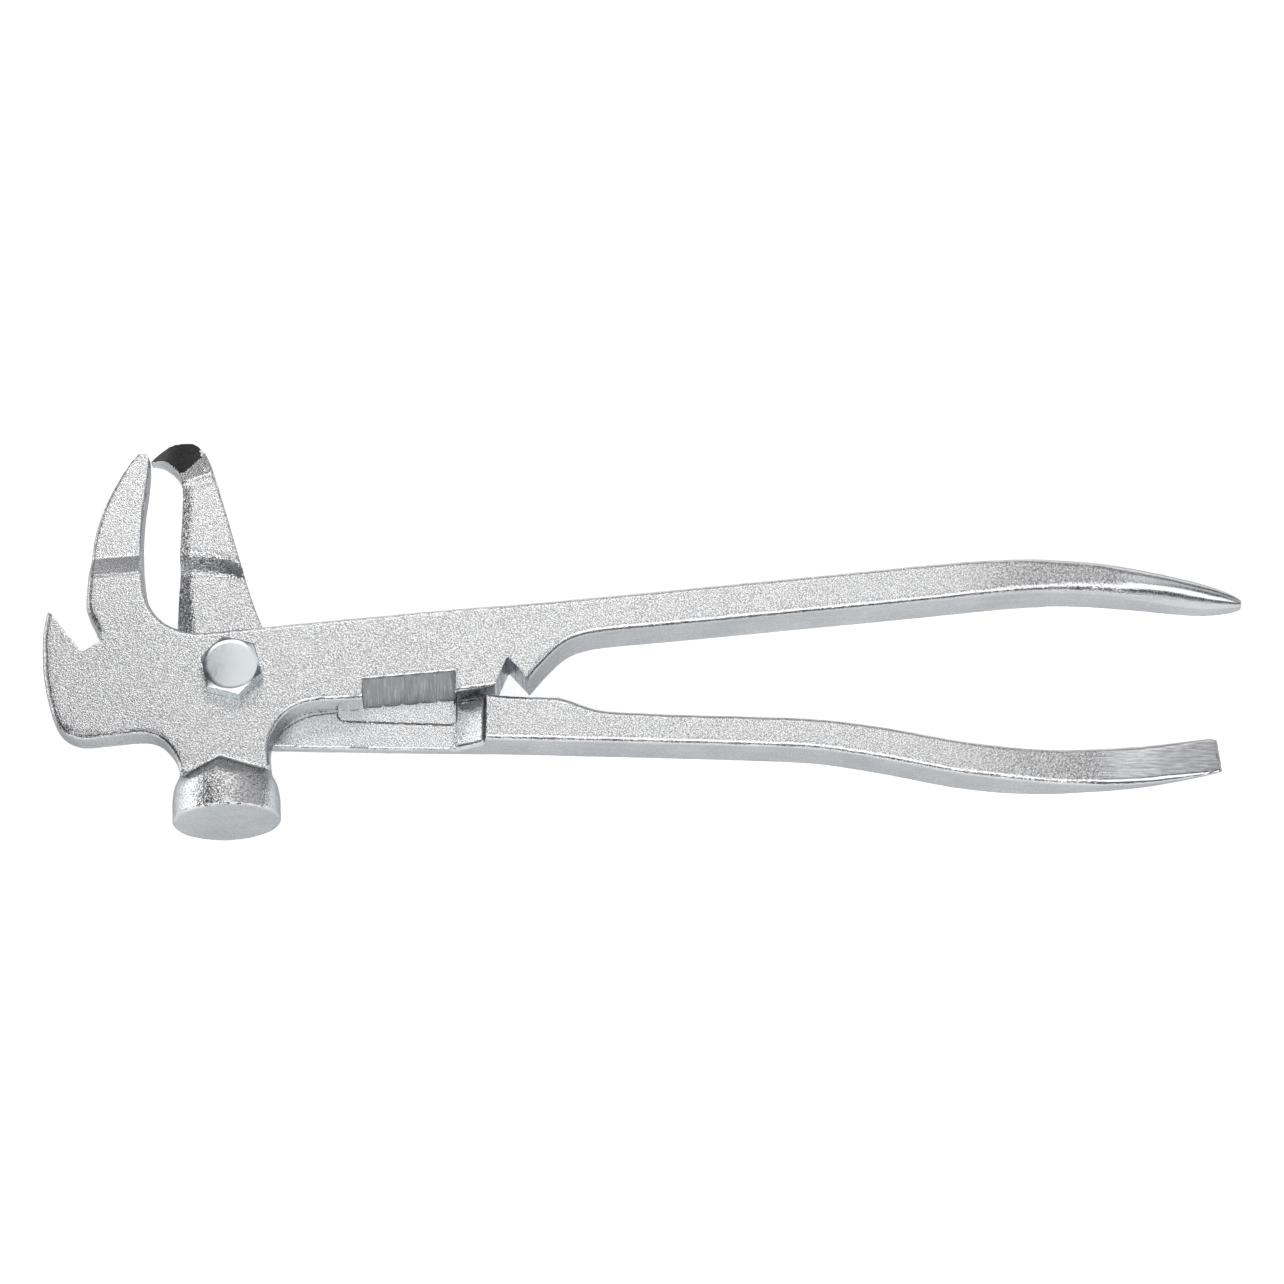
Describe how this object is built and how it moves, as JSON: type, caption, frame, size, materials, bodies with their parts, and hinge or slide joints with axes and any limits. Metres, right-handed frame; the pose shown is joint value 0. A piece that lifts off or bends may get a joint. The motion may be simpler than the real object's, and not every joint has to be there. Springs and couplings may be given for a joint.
{
  "type": "wheel weight pliers",
  "caption": "Forged lap-joint pliers with long hooked jaws, a side hammer head, a pry claw, a cutter and notch behind the pivot, and handles ending in a point and a flat blade.",
  "frame": {"origin": "under the middle of the whole tool, on the surface it lies on, front face up and handles closed", "axes": "+X from the jaws along the handles to their ends, +Y from the hammer head across to the jaw tips, +Z out of the front face, parallel to the pivot bolt and pointing at its head"},
  "size_m": [0.2724, 0.0957, 0.0246],
  "materials": {
    "plated_forging": "bright nickel-like plating over a grainy blasted forging, smooth on the sides and ground on the cutter and blade",
    "bolt_zinc": "bright zinc plating with a faint blue-green tint",
    "nut_zinc": "bright zinc plating",
    "nylon_insert": "smooth blue nylon"
  },
  "bodies": {
    "front_half": {"front_lever": "plated_forging", "pivot_bolt": "bolt_zinc", "back_washer": "nut_zinc", "lock_nut": "nut_zinc", "lock_nut_ring": "nylon_insert"},
    "rear_half": {"rear_lever": "plated_forging"}
  },
  "joints": [
    {"name": "handle_pivot", "type": "hinge", "parent": "front_half", "child": "rear_half", "pos_m": [-0.0928, -0.0126, 0.01255], "axis": [0, 0, -1], "range_deg": [0, 25]}
  ]
}
